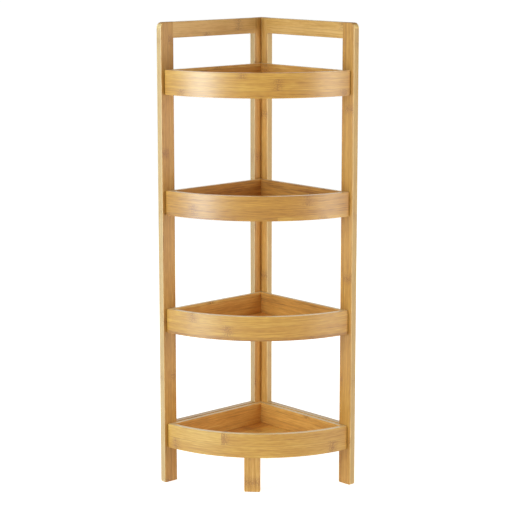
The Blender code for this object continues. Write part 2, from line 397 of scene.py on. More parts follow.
# %% [markdown]
# ## Colours
# Colours are written the way a paint chart gives them, as sRGB hex values, and turned to the linear
# values that the renderer adds up. Natural bamboo is straw yellow, and it darkens to honey where the
# fibres are dense. Heated (carbonised) fibre and the knuckles are brown.


# %% Colour and node helpers
def linear(colour):
    """An sRGB hex colour as linear RGBA."""
    parts = [int(colour[i : i + 2], 16) / 255 for i in (1, 3, 5)]
    return (*[c / 12.92 if c <= 0.04045 else ((c + 0.055) / 1.055) ** 2.4 for c in parts], 1.0)


def add(tree, kind, settings=None, links=None):
    """Adds a node, sets its properties or inputs, and links its inputs to sockets or nodes.

    A number picks an input by its place. On a Map Range, 1 and 2 are the range it reads and 3 and 4 the
    range it gives. On a colour Mix, 0 is the amount, and 6 and 7 are the two colours. A node that is
    given as a link stands for its first output.
    """
    node = tree.nodes.new("ShaderNode" + kind)
    for key, value in (settings or {}).items():
        if isinstance(key, str) and hasattr(node, key):
            setattr(node, key, value)
        else:
            node.inputs[key].default_value = value
    for key, source in (links or {}).items():
        socket = source.outputs[0] if isinstance(source, bpy.types.Node) else source
        tree.links.new(socket, node.inputs[key])
    return node


def new_material(name):
    """A material, its node tree and its surface shader."""
    material = bpy.data.materials.new(name)
    material.use_nodes = True
    return material, material.node_tree, material.node_tree.nodes["Principled BSDF"]


# %% [markdown]
# ## Laminated bamboo, clear satin lacquer
# On the real shelf the strips were sawn from culms, steamed, glued edge to edge, planed and sprayed with
# a thin clear lacquer. To the eye that gives long straight fibres, strips of slightly different yellow, a
# fine glue line between them, knuckles with a broken brown line in a mottled patch, and a soft sheen
# that stays broad because the lacquer is thin and sanded. All of it is drawn from the three attributes,
# so it turns with the grain. First they are read, and each strip's own numbers shift its patterns, so
# that no two strips look alike. Where noise drives a gloss, its usual range is 0.3 to 0.7.

# %% Reading the grain
STRIP_SHIFT = (31.0, 170.0, 57.0)
NOISE_LOW = 0.3
NOISE_HIGH = 0.7


def read_wood(tree):
    """The place in the wood and the strip's marks, as sockets by name."""
    grain = add(tree, "Attribute", {"attribute_name": "grain"})
    strip = add(tree, "Attribute", {"attribute_name": "strip"})
    span = add(tree, "Attribute", {"attribute_name": "span"})
    place = add(tree, "SeparateXYZ", {}, {0: grain.outputs["Vector"]})
    mark = add(tree, "SeparateXYZ", {}, {0: strip.outputs["Vector"]})
    edges = add(tree, "SeparateXYZ", {}, {0: span.outputs["Vector"]})
    shift = add(tree, "VectorMath", {"operation": "MULTIPLY", 1: STRIP_SHIFT}, {0: strip.outputs["Vector"]})
    return {
        "grain": grain.outputs["Vector"],
        "shift": shift.outputs[0],
        "along": place.outputs["X"],
        "across": place.outputs["Y"],
        "tone": mark.outputs["X"],
        "knuckle": mark.outputs["Y"],
        "low_edge": edges.outputs["X"],
        "high_edge": edges.outputs["Y"],
    }


# %% [markdown]
# ### Fibres
# The fibres are four layers of noise stretched along the grain: slow streaks, bundles, fibres and short
# flecks. They add up with the strip's tone, which on the tray walls and the third tray's floor also holds
# painted shade and on the lowest front painted light, and pick a colour from a ramp, from dense and dark to
# pale.
# A real fibre bundle is about 0.5 mm wide, which is too fine to show here, so the finest layers are drawn
# 1.6 and 1.8 mm wide.

# %% Fibres
# Each layer: length, width, detail and how much it counts.
FIBRE_LAYERS = (
    (300 * MM, 5.5 * MM, 2.0, 0.48),
    (80 * MM, 2.4 * MM, 3.0, 0.60),
    (60 * MM, 1.6 * MM, 2.0, 0.80),
    (16 * MM, 1.8 * MM, 1.0, 0.56),
)
FIBRE_ROUGHNESS = 0.55
TONE_CONTRAST = 0.30
MIDDLE_TONE = 0.5
RAMP_START = 0.05
RAMP_STOP = 0.95


def fibre_layers(tree, wood, streaks):
    """The sum of the strip's tone and the fibres, and the noise node of each layer."""
    total = add(
        tree, "Math", {"operation": "MULTIPLY_ADD", 1: TONE_CONTRAST, 2: MIDDLE_TONE},
        {0: wood["tone"]},
    )
    layers = []
    for length, width, detail, amount in FIBRE_LAYERS:
        stretched = add(
            tree, "VectorMath",
            {"operation": "MULTIPLY_ADD", 1: (1 / length, 1 / width, 1 / width)},
            {0: wood["grain"], 2: wood["shift"]},
        )
        layer = add(
            tree, "TexNoise", {"Scale": 1.0, "Detail": detail, "Roughness": FIBRE_ROUGHNESS},
            {"Vector": stretched},
        )
        centred = add(tree, "Math", {"operation": "SUBTRACT", 1: 0.5}, {0: layer})
        total = add(
            tree, "Math", {"operation": "MULTIPLY_ADD", 1: amount * streaks},
            {0: centred, 2: total},
        )
        layers.append(layer)
    return total, layers


def fibre_colour(tree, total, tones):
    """Turns the sum into a colour. The tones run from dense to pale."""
    ramp = add(tree, "ValToRGB", {}, {0: total})
    stops = ramp.color_ramp.elements
    stops[0].position = RAMP_START
    stops[1].position = RAMP_STOP
    for step in range(1, len(tones) - 1):
        stops.new(RAMP_START + (RAMP_STOP - RAMP_START) * step / (len(tones) - 1))
    for stop, tone in zip(stops, tones):
        stop.color = linear(tone)
    return ramp.outputs[0]


print("fibre layers:", len(FIBRE_LAYERS))

# %% [markdown]
# ### Knuckles
# A knuckle is a ring round the culm, so on a planed strip it is a thin line across the grain, wavy and
# broken, in a mottled brown patch. The pattern needs only the distance to the nearest ring, which repeats
# along the culm, and noise that breaks it up.

# %% Rings and speckles
RING_WAVE = 6 * MM
WAVE_SCALE = (12.0, 260.0, 260.0)
SPECKLE_SCALE = (420.0, 650.0, 650.0)
SPECKLE_BREAK = (0.38, 0.62)


def from_ring(tree, wood):
    """The distance to the nearest ring along the grain, in knuckle spacings."""
    wave_place = add(
        tree, "VectorMath", {"operation": "MULTIPLY_ADD", 1: WAVE_SCALE},
        {0: wood["grain"], 2: wood["shift"]},
    )
    wave = add(tree, "TexNoise", {"Scale": 1.0, "Detail": 2.0}, {"Vector": wave_place})
    wavy = add(tree, "Math", {"operation": "MULTIPLY_ADD", 1: RING_WAVE}, {0: wave, 2: wood["along"]})
    offset = add(tree, "Math", {"operation": "SUBTRACT"}, {0: wavy, 1: wood["knuckle"]})
    turns = add(tree, "Math", {"operation": "DIVIDE", 1: KNUCKLE_SPACING}, {0: offset})
    return add(tree, "Math", {"operation": "PINGPONG", 1: 0.5}, {0: turns})


def speckles(tree, wood):
    """Patches of noise, from 0 to 1, that break up the ring."""
    speckle_place = add(
        tree, "VectorMath", {"operation": "MULTIPLY_ADD", 1: SPECKLE_SCALE},
        {0: wood["grain"], 2: wood["shift"]},
    )
    speckle = add(
        tree, "TexNoise", {"Scale": 1.0, "Detail": 2.0, "Roughness": 0.6},
        {"Vector": speckle_place},
    )
    low, high = SPECKLE_BREAK
    return add(
        tree, "MapRange", {"interpolation_type": "SMOOTHSTEP", 1: low, 2: high, 3: 0.0, 4: 1.0},
        {0: speckle},
    )


# %% [markdown]
# ### Drawing the knuckles
# The ring gives two marks: the brown patch first, and the thin line over it. Both are broken up by the
# speckles, the line less than the patch.

# %% Draw the knuckles
LINE_CORE = 0.8 * MM
LINE_EDGE = 2.6 * MM
LINE_STRENGTH = 0.15
LINE_LEAST = 0.25
PATCH_REACH = 15 * MM
PATCH_STRENGTH = 0.60
KNUCKLE_BROWN = "#8A4C16"


def knuckles(tree, wood, colour, knots):
    """Draws the rings over a colour. Gives the new colour and the mask of the patch."""
    ring = from_ring(tree, wood)
    broken = speckles(tree, wood)
    core, edge, reach = (size / KNUCKLE_SPACING for size in (LINE_CORE, LINE_EDGE, PATCH_REACH))
    line = add(
        tree, "MapRange", {"interpolation_type": "SMOOTHSTEP", 1: core, 2: edge, 3: 1.0, 4: 0.0},
        {0: ring},
    )
    patch = add(
        tree, "MapRange", {"interpolation_type": "SMOOTHSTEP", 1: 0.0, 2: reach, 3: 1.0, 4: 0.0},
        {0: ring},
    )
    gaps = add(tree, "Math", {"operation": "MULTIPLY_ADD", 1: 1 - LINE_LEAST, 2: LINE_LEAST}, {0: broken})
    line_mask = add(tree, "Math", {"operation": "MULTIPLY"}, {0: line, 1: gaps})
    patch_mask = add(tree, "Math", {"operation": "MULTIPLY"}, {0: patch, 1: broken})
    for mask, strength in ((patch_mask, PATCH_STRENGTH), (line_mask, LINE_STRENGTH)):
        amount = add(tree, "Math", {"operation": "MULTIPLY", 1: strength * knots}, {0: mask})
        mixed = add(tree, "Mix", {"data_type": "RGBA", 7: linear(KNUCKLE_BROWN)}, {0: amount, 6: colour})
        colour = mixed.outputs[2]
    return colour, patch_mask


# %% [markdown]
# ### Glue lines
# Where two strips meet, a fine darker line shows. The real one is about 0.1 mm wide, too fine to show, so
# it is drawn 0.5 mm wide on each strip.

# %% Glue lines
GLUE_CORE = 0.1 * MM
GLUE_EDGE = 0.5 * MM
GLUE_STRENGTH = 0.45
GLUE_BROWN = "#A8743A"


def glue_lines(tree, wood, colour):
    """Draws the glue over a colour, at the two edges of each strip."""
    from_low = add(tree, "Math", {"operation": "SUBTRACT"}, {0: wood["across"], 1: wood["low_edge"]})
    from_high = add(tree, "Math", {"operation": "SUBTRACT"}, {0: wood["high_edge"], 1: wood["across"]})
    nearest = add(tree, "Math", {"operation": "MINIMUM"}, {0: from_low, 1: from_high})
    line = add(tree, "MapRange", {1: GLUE_CORE, 2: GLUE_EDGE, 3: GLUE_STRENGTH, 4: 0.0}, {0: nearest})
    mixed = add(tree, "Mix", {"data_type": "RGBA", 7: linear(GLUE_BROWN)}, {0: line, 6: colour})
    return mixed.outputs[2]


# %% [markdown]
# ### Lacquer
# The lacquer is a clear coat over the wood. Pale bundles under it are a little glossier than dense ones,
# and the fibres and knuckles stand up very slightly.

# %% Lacquer
SHEEN_SPREAD = 0.05
BUNDLE_SHARE = 0.5
KNUCKLE_SHARE = 0.9
RELIEF_STRENGTH = 0.5
RELIEF_HEIGHT = 0.3 * MM
LACQUER_IOR = 1.54
LACQUER_ROUGHNESS = 0.35


def lacquered(tree, shader, layers, patch_mask, sheen):
    """Gives the surface its sheen, its slight relief and its clear coat."""
    _, bundles, fibres, _ = layers
    roughness = add(
        tree, "MapRange", {1: NOISE_LOW, 2: NOISE_HIGH, 3: sheen + SHEEN_SPREAD, 4: sheen - SHEEN_SPREAD},
        {0: bundles},
    )
    tree.links.new(roughness.outputs[0], shader.inputs["Roughness"])
    relief = add(tree, "Math", {"operation": "MULTIPLY_ADD", 1: BUNDLE_SHARE}, {0: bundles, 2: fibres})
    with_knuckles = add(
        tree, "Math", {"operation": "MULTIPLY_ADD", 1: KNUCKLE_SHARE},
        {0: patch_mask, 2: relief},
    )
    bump = add(
        tree, "Bump", {"Strength": RELIEF_STRENGTH, "Distance": RELIEF_HEIGHT},
        {"Height": with_knuckles},
    )
    tree.links.new(bump.outputs[0], shader.inputs["Normal"])
    shader.inputs["IOR"].default_value = LACQUER_IOR
    shader.inputs["Coat Weight"].default_value = 1.0
    shader.inputs["Coat IOR"].default_value = LACQUER_IOR
    shader.inputs["Coat Roughness"].default_value = LACQUER_ROUGHNESS


# %% [markdown]
# ### The bamboos of this shelf
# Broad faces, narrow edges, bent strips, tray linings and floors come from different cuts and batches, so
# each has its own five tones. An edge shows the strips from the side, paler and with fainter knuckles.
# The right frame's edges face the warm side softbox, and their copy is drawn warmer than the left's as
# painted light from it.

# %% Bamboo materials
def bamboo(name, tones, sheen=0.46, streaks=1.0, knots=1.0):
    """Lacquered bamboo. streaks and knots say how strongly the fibres and the knuckles show."""
    material, tree, shader = new_material(name)
    wood = read_wood(tree)
    total, layers = fibre_layers(tree, wood, streaks)
    colour = fibre_colour(tree, total, tones)
    colour, patch_mask = knuckles(tree, wood, colour, knots)
    colour = glue_lines(tree, wood, colour)
    tree.links.new(colour, shader.inputs["Base Color"])
    lacquered(tree, shader, layers, patch_mask, sheen)
    return material


FACE_TONES = ("#996318", "#BB812C", "#C9923A", "#D7A553", "#E4B669")
EDGE_TONES = ("#BE975A", "#DABA7B", "#E6C98F", "#EFD9A3", "#F8EABB")
# The edge tones made warmer for the right frame's edges: painted light of the warm side softbox.
SIDELIT_EDGE_TONES = ("#C89C56", "#E5C175", "#F2D088", "#FBE19B", "#FFF2B2")
BAND_TONES = ("#9A6017", "#B87F28", "#C79034", "#D4A344", "#E1B75B")
TRAY_TONES = ("#AA6F29", "#CE9441", "#E3A94E", "#F4BF63", "#FAD77E")
FLOOR_TONES = ("#B57428", "#DD993E", "#F1B14B", "#F9C560", "#F9E279")

face_bamboo = bamboo("laminated_bamboo_face", FACE_TONES)
edge_bamboo = bamboo("laminated_bamboo_edge", EDGE_TONES, streaks=0.7, knots=0.5)
sidelit_edge_bamboo = bamboo("laminated_bamboo_sidelit_edge", SIDELIT_EDGE_TONES, streaks=0.7, knots=0.5)
band_bamboo = bamboo("bent_bamboo_strip", BAND_TONES, sheen=0.44)
rim_bamboo = bamboo("bent_bamboo_rim", EDGE_TONES, streaks=0.6, knots=0.4, sheen=0.44)
tray_bamboo = bamboo("bamboo_tray_lining", TRAY_TONES, sheen=0.50)
floor_bamboo = bamboo("bamboo_tray_floor", FLOOR_TONES, sheen=0.50)
print("bamboo materials:", len([m for m in bpy.data.materials if "bamboo" in m.name]))

# %% [markdown]
# ## End grain
# Where a strip is cut across, its fibre bundles show as dark dots. The cut drinks lacquer, so it looks
# darker and duller than the faces. Real bundles are about 0.6 mm across, and the dots are drawn about
# 1 mm apart.

# %% End grain material
PER_MM = 1 / MM
BUNDLE_CORE = 0.18
BUNDLE_EDGE = 0.42
BUNDLE_STRENGTH = 0.75


def end_grain(name, ground, shaded_ground, bundle):
    """Cut bamboo: dark dots on a ground of two tones."""
    material, tree, shader = new_material(name)
    grain = add(tree, "Attribute", {"attribute_name": "grain"})
    flat = add(
        tree, "VectorMath", {"operation": "MULTIPLY", 1: (0.0, PER_MM, PER_MM)},
        {0: grain.outputs["Vector"]},
    )
    dots = add(tree, "TexVoronoi", {"Scale": 0.9, "Randomness": 0.8}, {"Vector": flat})
    dot_mask = add(
        tree, "MapRange",
        {"interpolation_type": "SMOOTHSTEP", 1: BUNDLE_CORE, 2: BUNDLE_EDGE, 3: BUNDLE_STRENGTH, 4: 0.0},
        {0: dots.outputs["Distance"]},
    )
    cloud = add(tree, "TexNoise", {"Scale": 0.25, "Detail": 3.0}, {"Vector": flat})
    ground_mix = add(
        tree, "Mix", {"data_type": "RGBA", 6: linear(ground), 7: linear(shaded_ground)},
        {0: cloud},
    )
    colour = add(
        tree, "Mix", {"data_type": "RGBA", 7: linear(bundle)},
        {0: dot_mask, 6: ground_mix.outputs[2]},
    )
    tree.links.new(colour.outputs[2], shader.inputs["Base Color"])
    bump = add(tree, "Bump", {"Strength": 0.3, "Distance": 0.1 * MM}, {"Height": dots.outputs["Distance"]})
    tree.links.new(bump.outputs[0], shader.inputs["Normal"])
    shader.inputs["Roughness"].default_value = 0.55
    return material


cut_bamboo = end_grain("bamboo_end_grain", "#D2A25E", "#B98546", "#8A5A28")
print("end grain:", cut_bamboo.name)

# %% [markdown]
# ## Faces, edges and ends
# A board's broad faces, its narrow edges and its cut ends each get their own finish. They are told apart
# by which way each face looks in the wood's own directions. A board is drilled after its strips are
# marked off, and dressed last, when it has all its faces.


# %% Dressing helpers
def dress(piece, along, across, face, edge, end):
    """Gives each polygon the finish for the way it looks: along the grain, across it or through it."""
    for material in (face, edge, end):
        piece.data.materials.append(material)
    for polygon in piece.data.polygons:
        lengthwise = abs(polygon.normal.dot(along))
        sideways = abs(polygon.normal.dot(across))
        if lengthwise > MOSTLY:
            polygon.material_index = 2
        elif sideways > MOSTLY:
            polygon.material_index = 1


def hand_over(piece, node):
    """The finished piece stands for its CAD node and rides on the one body."""
    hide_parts(node)
    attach(piece, "root")


def report(piece):
    """Prints how many faces a piece has, and how many of its edges are open."""
    print(f"{piece.name}: {len(piece.data.polygons)} faces, {open_edges(piece)} open edges")


def finish_board(piece, node, seed, origin, ways, strips, width, finishes, screws=(), dowels=()):
    """Marks the strips of a straight board, drills it, dresses it and hands it over.

    ways are the directions along the grain, across it and through it.
    """
    along, across, through = ways
    cut_strips(piece, strips, width, origin, across)
    bore(piece, screws, dowels)
    shade(piece)
    mark_wood(piece, straight_place(origin, along, across, through), strips, width, seed)
    dress(piece, along, across, *finishes)
    hand_over(piece, node)
    report(piece)


# %% [markdown]
# ## Posts
# A post is one planed board, 12.5 mm thick. The front posts have a large rounding at the outer top
# corner, a smaller one at the foot, and every other edge is only eased. It starts as a box of the
# node's own size. The corner edges are rounded first, because easing follows the new curve.

# %% Model the posts
POST_SCREWS = {
    (side, end): [f"tray_{tray}_{side}_{end}_screw" for tray in TRAYS]
    for side in SIDES
    for end in ("back", "front")
}
# The right frame's edges take the copy with the side softbox's light painted in.
POST_EDGES = {"left": edge_bamboo, "right": sidelit_edge_bamboo}
CORNER_SCREWS = [f"corner_{level}_screw" for level in ("low", "middle", "high")]
FRAME_SPREAD = 0.3


def post(side, end, seed):
    node = f"{side}_{end}_post"
    low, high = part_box(node)
    along, depth = SIDES[side]["along"], SIDES[side]["depth"]
    piece = block(node + "_board", low, high)
    if end == "front":
        outer = max(low.dot(along), high.dot(along))
        round_edges(
            piece, lambda e: at(e, along, outer) and at(e, Z_AXIS, high.z), CORNER_RADIUS, CORNER_STEPS
        )
        round_edges(piece, lambda e: at(e, along, outer) and at(e, Z_AXIS, low.z), FOOT_RADIUS, FOOT_STEPS)
    round_edges(piece, is_sharp, EASE)
    origin = Vector((low.x, high.y, low.z))
    width = abs((high - low).dot(along))
    strips = strip_row(node, width, seed, spread=FRAME_SPREAD)
    finish_board(
        piece, node, seed, origin, (Z_AXIS, along, depth), strips, width,
        finishes=(face_bamboo, POST_EDGES[side], cut_bamboo),
        screws=POST_SCREWS[side, end] + (CORNER_SCREWS if end == "back" else []),
        dowels=[f"{side}_{level}_{end}_dowel" for level in ("top", "bottom")],
    )


for seed, (side, end) in enumerate(POST_SCREWS, start=POST_SEED):
    post(side, end, seed)

# %% [markdown]
# ## Rails
# The rails butt against the posts and are held by dowels, so only their long edges are eased. The frame
# is sanded flush once it is glued, so no V-groove shows at the joints: each rail end reaches just far
# enough to fill the eased edge of its post. The grain runs along the rail.


# %% Model the rails
def rail(side, level, seed):
    node = f"{side}_{level}_rail"
    low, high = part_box(node)
    along, depth = SIDES[side]["along"], SIDES[side]["depth"]
    reach = Vector([abs(part) for part in along]) * (GAP + EASE)
    piece = block(node + "_board", low - reach, high + reach)
    long_side = (high - low).length / 2
    round_edges(piece, lambda e: e.calc_length() > long_side, EASE)
    origin = Vector((low.x, high.y, low.z))
    height = high.z - low.z
    strips = strip_row(node, height, seed, spread=FRAME_SPREAD)
    finish_board(
        piece, node, seed, origin, (along, Z_AXIS, depth), strips, height,
        finishes=(face_bamboo, edge_bamboo, cut_bamboo),
        dowels=[f"{side}_{level}_{end}_dowel" for end in ("back", "front")],
    )


RAILS = [(side, level) for side in SIDES for level in ("top", "bottom")]
for seed, (side, level) in enumerate(RAILS, start=RAIL_SEED):
    rail(side, level, seed)

# %% [markdown]
# ## Tray walls
# Two straight boards of each tray stand on the inner faces of the frames. A groove near the lower edge
# holds the floor panel. The groove is straight and runs right through, so a long bar takes it away with
# a Boolean, as a router would plough it.


# %% Model the tray walls
def groove_heights(tray):
    """The lower and upper edge of the groove, with the floor panel and its gap between them."""
    low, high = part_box(f"tray_{tray}_floor")
    return low.z - GAP, high.z + GAP


def plough(piece, tray, side, low, high):
    """Cuts the groove into a wall's inner face, from end to end."""
    along, depth = SIDES[side]["along"], SIDES[side]["depth"]
    groove_low, groove_high = groove_heights(tray)
    inner = max(low.dot(depth), high.dot(depth))
    middle = (low + high) / 2
    groove_middle = middle + depth * (inner - middle.dot(depth))
    groove_middle.z = (groove_low + groove_high) / 2
    reach = along * (high - low).length + depth * GROOVE_DEPTH
    half = Vector([abs(part) for part in reach]) + Z_AXIS * (groove_high - groove_low) / 2
    carve(piece, block("cutter", groove_middle - half, groove_middle + half))


def tray_wall(side, tray, seed):
    node = f"tray_{tray}_{side}_wall"
    low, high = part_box(node)
    along, depth = SIDES[side]["along"], SIDES[side]["depth"]
    piece = block(node + "_strip", low, high)
    round_edges(piece, lambda e: at(e, Z_AXIS, high.z) and e.calc_length() > 2 * WALL, RIM_EASE)
    plough(piece, tray, side, low, high)
    origin = Vector((low.x, high.y, low.z))
    strips = strip_row(node, TRAY_HEIGHT, seed)
    finish_board(
        piece, node, seed, origin, (along, Z_AXIS, depth), strips, TRAY_HEIGHT,
        finishes=(tray_bamboo, rim_bamboo, cut_bamboo),
        screws=[f"tray_{tray}_{side}_{end}_screw" for end in ("back", "front")],
    )


for tray in TRAYS:
    for offset, side in enumerate(SIDES):
        tray_wall(side, tray, WALL_SEED + tray * 3 + offset)

# %% [markdown]
# ## Bent tray fronts
# The fronts are steamed strips bent round a former and glued up to 8 mm. Their section is drawn once, as
# an upright plane at the left end, and spun round the room corner. The strips of the outer face run
# round with it. Each front has its own strips: their edges, where one ends against the next, how pale
# they are, and where a knuckle falls, all measured from the left end.

# %% Strips of the bent fronts
END_MARGIN = math.asin((STOCK + GAP) / (BAND_RADIUS - WALL))
BAND_SWEEP = math.pi / 2 - 2 * END_MARGIN
BAND_STEPS = 84

# Each strip of each tray: low edge, high edge, start, stop, tone and knuckle.
BAND_STRIPS = {
    # On the lowest front the lower strip and the upper strip right of the butt joint are set paler, as
    # painted light for the side light and highlight on that front.
    1: [
        (0.0, 0.0205, -FAR, FAR, 0.40, 0.022),
        (0.0205, 0.042, -FAR, 0.1095, 0.75, 0.250),
        (0.0205, 0.042, 0.1095, FAR, 0.20, 0.118),
    ],
    2: [
        (0.0, 0.0055, -FAR, FAR, -0.75, 0.270),
        (0.0055, 0.0255, -FAR, FAR, 0.05, 0.125),
        (0.0255, 0.042, -FAR, FAR, 0.25, 0.060),
    ],
    3: [
        (0.0, 0.0060, -FAR, 0.205, -0.90, 0.300),
        (0.0, 0.0060, 0.205, FAR, 0.30, 0.290),
        (0.0060, 0.0240, -FAR, FAR, -0.65, 0.063),
        (0.0240, 0.042, -FAR, FAR, -0.50, 0.262),
    ],
    4: [
        (0.0, 0.0120, -FAR, FAR, -0.15, 0.330),
        (0.0120, 0.0320, -FAR, FAR, 0.10, 0.209),
        (0.0320, 0.042, -FAR, FAR, 0.30, 0.150),
    ],
}

print("length of a front round the bend:", round(BAND_SWEEP * BAND_RADIUS, 3))

# %% [markdown]
# ### Bending a front
# The section is a plane of the band's thickness and height. Slices mark the groove and the strips, the
# groove's face is deleted, and the rest is spun. Spin counts a positive angle clockwise here, so the
# sweep is given as a minus.

# %% Bend a front
WELD = 0.005 * MM
BAND_START = END_MARGIN - math.pi / 2
START_OUTWARD = Vector((math.cos(BAND_START), math.sin(BAND_START), 0.0))
GROOVE_BOTTOM = BAND_RADIUS - WALL + GROOVE_DEPTH


def from_axis(place):
    """How far a place is from the upright axis of the bend."""
    return (place - room_corner).xy.length


def band_section(tray, name, low, high):
    """The section of a front at its left end, sliced at its strips and without the groove's face."""
    bpy.ops.object.select_all(action="DESELECT")
    middle = room_corner + START_OUTWARD * (BAND_RADIUS - WALL / 2) + Z_AXIS * (low.z + high.z) / 2
    bpy.ops.mesh.primitive_plane_add(size=1.0, location=middle, rotation=(math.pi / 2, 0.0, BAND_START))
    bpy.context.active_object.scale = (WALL, high.z - low.z, 1.0)
    piece = named(name)
    groove_low, groove_high = groove_heights(tray)
    strip_edges = {edge for low_edge, high_edge, *_ in BAND_STRIPS[tray] for edge in (low_edge, high_edge)}
    inner_edges = {low.z + edge for edge in strip_edges if 0 < edge < TRAY_HEIGHT - MM}
    for height in sorted({groove_low, groove_high} | inner_edges):
        cut(piece, Z_AXIS * height, Z_AXIS)
    cut(piece, room_corner + START_OUTWARD * GROOVE_BOTTOM, START_OUTWARD)

    def in_groove(face):
        centre = face.calc_center_median()
        return from_axis(centre) < GROOVE_BOTTOM and groove_low < centre.z < groove_high

    pick(piece, "FACE", in_groove)
    bpy.ops.mesh.delete(type="FACE")
    bpy.ops.object.mode_set(mode="OBJECT")
    return piece


def bend(piece):
    """Spins the section round the room corner into a closed band."""
    take(piece)
    bpy.ops.object.mode_set(mode="EDIT")
    bpy.ops.mesh.select_all(action="SELECT")
    bpy.ops.mesh.spin(steps=BAND_STEPS, angle=-BAND_SWEEP, center=room_corner, axis=(0, 0, 1))
    bpy.ops.mesh.select_all(action="SELECT")
    bpy.ops.mesh.remove_doubles(threshold=WELD)
    bpy.ops.mesh.normals_make_consistent(inside=False)
    bpy.ops.object.mode_set(mode="OBJECT")


# %% [markdown]
# ### Finishing a front
# The four corners of the band are rounded off and its outer edges are eased. The grain is measured round
# the bend. The inner face gets the tray's lining, the outer face the bent strip's finish, and the rim and
# the cut ends their own.


# %% Finish the fronts
def band_place(tray_low):
    """Grain coordinates of a bent front: round the bend from the left end, up, and outwards."""

    def place(co):
        arm = co - room_corner
        angle = math.atan2(arm.y, arm.x) - BAND_START
        return angle * BAND_RADIUS, co.z - tray_low, from_axis(co)

    return place


def round_band(piece, low, high):
    """Rounds the band's corners and eases its outer edges."""

    def radial_corner(edge):
        first, second = (from_axis(vert.co) for vert in edge.verts)
        level = at(edge, Z_AXIS, high.z) or at(edge, Z_AXIS, low.z)
        return level and is_sharp(edge) and abs(first - second) > MM

    def outer_edge(edge):
        outside = all(from_axis(vert.co) > BAND_RADIUS - NEAR for vert in edge.verts)
        return is_sharp(edge) and (outside or at(edge, Z_AXIS, high.z))

    round_edges(piece, radial_corner, BAND_CORNER_RADIUS, BAND_CORNER_STEPS)
    round_edges(piece, outer_edge, RIM_EASE)


def dress_band(piece):
    """The outer face is the first finish, then the rim, the cut ends and the inner face."""
    for material in (band_bamboo, rim_bamboo, cut_bamboo, tray_bamboo):
        piece.data.materials.append(material)
    for polygon in piece.data.polygons:
        arm = polygon.center - room_corner
        outwards = Vector((arm.x, arm.y, 0.0)).normalized()
        if abs(polygon.normal.z) > MOSTLY:
            polygon.material_index = 1
        elif abs(polygon.normal.cross(outwards).z) > MOSTLY:
            polygon.material_index = 2
        elif polygon.normal.dot(outwards) < 0:
            polygon.material_index = 3


def front_band(tray, seed):
    node = f"tray_{tray}_front_band"
    low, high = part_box(node)
    piece = band_section(tray, node + "_bent_strip", low, high)
    bend(piece)
    round_band(piece, low, high)
    shade(piece)
    mark_wood(piece, band_place(low.z), BAND_STRIPS[tray], TRAY_HEIGHT, seed)
    dress_band(piece)
    hand_over(piece, node)
    report(piece)


for tray in TRAYS:
    front_band(tray, FRONT_SEED + tray)

# %% [markdown]
# ## Tray floors
# Each floor is one thin panel of strips glued edge to edge, running front to back, with its edges in the
# grooves. It starts as a disc about the room corner, and two saw cuts leave the quarter.

# %% Model the floors
FLOOR_STRIP = 23.4 * MM
FLOOR_SPREAD = 0.8
DISC_SIDES = 288
LEG_SCREWS = ["leg_left_screw", "leg_right_screw"]


def tray_floor(tray, seed):
    node = f"tray_{tray}_floor"
    low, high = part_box(node)
    radius = GROOVE_BOTTOM - GAP
    bpy.ops.object.select_all(action="DESELECT")
    centre = room_corner + Z_AXIS * (low.z + high.z) / 2
    bpy.ops.mesh.primitive_cylinder_add(
        vertices=DISC_SIDES, radius=radius, depth=high.z - low.z, location=centre
    )
    piece = named(node + "_panel")
    edge = Vector((low.x, high.y, low.z))
    cut(piece, edge, Vector((-1.0, 0.0, 0.0)), drop=True)
    cut(piece, edge, Vector((0.0, 1.0, 0.0)), drop=True)
    width = high.x - low.x
    across = SIDES["right"]["along"]
    first = FLOOR_STRIP + GROOVE_DEPTH
    strips = strip_row(node, width, seed, first, strip_width=FLOOR_STRIP, spread=FLOOR_SPREAD)
    finish_board(
        piece, node, seed, edge, (SIDES["left"]["along"], across, Z_AXIS), strips, width,
        finishes=(floor_bamboo, floor_bamboo, cut_bamboo),
        screws=LEG_SCREWS if tray == 1 else (),
    )


for tray in TRAYS:
    tray_floor(tray, FLOOR_SEED + tray)

# %% [markdown]
# ## Front leg
# A short offcut of post stock carries the front of the lowest tray. It stands square to the bend, so it
# is turned to its bearing from the room corner. All its strips come from one stretch of culm, so their
# knuckles fall in line.

# %% Model the leg
LEG_KNUCKLE = 20.5 * MM


def front_leg(seed):
    low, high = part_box("front_leg")
    out = Vector((math.cos(LEG_BEARING), math.sin(LEG_BEARING), 0.0))
    side_way = Vector((-out.y, out.x, 0.0))
    middle = (low + high) / 2
    half = Vector((STOCK, LEG_WIDTH, high.z - low.z)) / 2
    piece = block("front_leg_board", middle - half, middle + half, turn=LEG_BEARING)
    round_edges(piece, is_sharp, EASE)
    origin = middle - side_way * LEG_WIDTH / 2 - Z_AXIS * half.z
    strips = [(*strip[:-1], LEG_KNUCKLE) for strip in strip_row("front_leg", LEG_WIDTH, seed)]
    finish_board(
        piece, "front_leg", seed, origin, (Z_AXIS, side_way, out), strips, LEG_WIDTH,
        finishes=(face_bamboo, edge_bamboo, cut_bamboo),
        screws=LEG_SCREWS,
    )


front_leg(LEG_SEED)

# %% [markdown]
# ## Screws
# The trays hang on countersunk cross-head screws of steel, put in from the outside and sunk just below the
# surface. Their zinc plating is bright, with a faint yellow cast and fine spots about 1 mm across, a
# little duller than the rest.

# %% Zinc plate
BRIGHT_ZINC = 0.28
DULL_ZINC = 0.42


